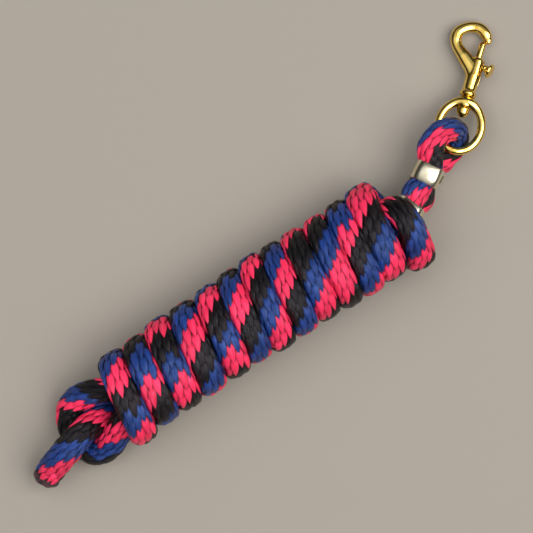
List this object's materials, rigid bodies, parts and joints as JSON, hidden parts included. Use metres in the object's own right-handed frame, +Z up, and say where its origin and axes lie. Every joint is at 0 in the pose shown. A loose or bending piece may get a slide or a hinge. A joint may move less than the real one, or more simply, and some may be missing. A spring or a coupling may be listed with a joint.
{
  "type": "lead rope",
  "caption": "Braided rope lead wound into a hank, its eye loop held by crimp bands on the ring of a swivel bolt snap with a spring bolt.",
  "frame": {"origin": "on the surface it lies on, under the middle of the whole object", "axes": "+X along the hank towards the snap, +Y across it towards the side where the snap's hook lies, +Z up"},
  "size_m": [0.3431, 0.1029, 0.0495],
  "materials": {
    "rope_fibre": "red, blue and black braided filament",
    "brass": "polished casting",
    "plated_brass": "bright plated strip",
    "spring_steel": "bright wire"
  },
  "bodies": {
    "rope": {"rope_eye_loop": "rope_fibre", "rope_first_turn": "rope_fibre", "rope_hank": "rope_fibre", "rope_bight": "rope_fibre", "rope_tail": "rope_fibre", "lower_crimp": "plated_brass", "upper_crimp": "plated_brass"},
    "eye": {"swivel_eye": "brass"},
    "snap": {"snap_body": "brass", "swivel_pin": "brass", "bolt_spring": "spring_steel"},
    "bolt": {"bolt": "brass", "thumb_stud": "brass"}
  },
  "joints": [
    {"name": "eye_swing", "type": "hinge", "parent": "rope", "child": "eye", "pos_m": [0.11538, 0.00093, 0.01652], "axis": [0.0563, -0.9914, 0.1179], "range_deg": [0, 60]},
    {"name": "snap_swivel", "type": "hinge", "parent": "eye", "child": "snap", "pos_m": [0.1408, 0.0153, 0.0109], "axis": [0.7462, 0.6373, -0.1925], "continuous": true},
    {"name": "bolt_slide", "type": "slide", "parent": "snap", "child": "bolt", "axis": [-0.7462, -0.6373, 0.1925], "range_m": [0, 0.0088], "stiffness_N_per_m": 300, "springref_m": -0.008, "deforming": ["bolt_spring"]}
  ]
}
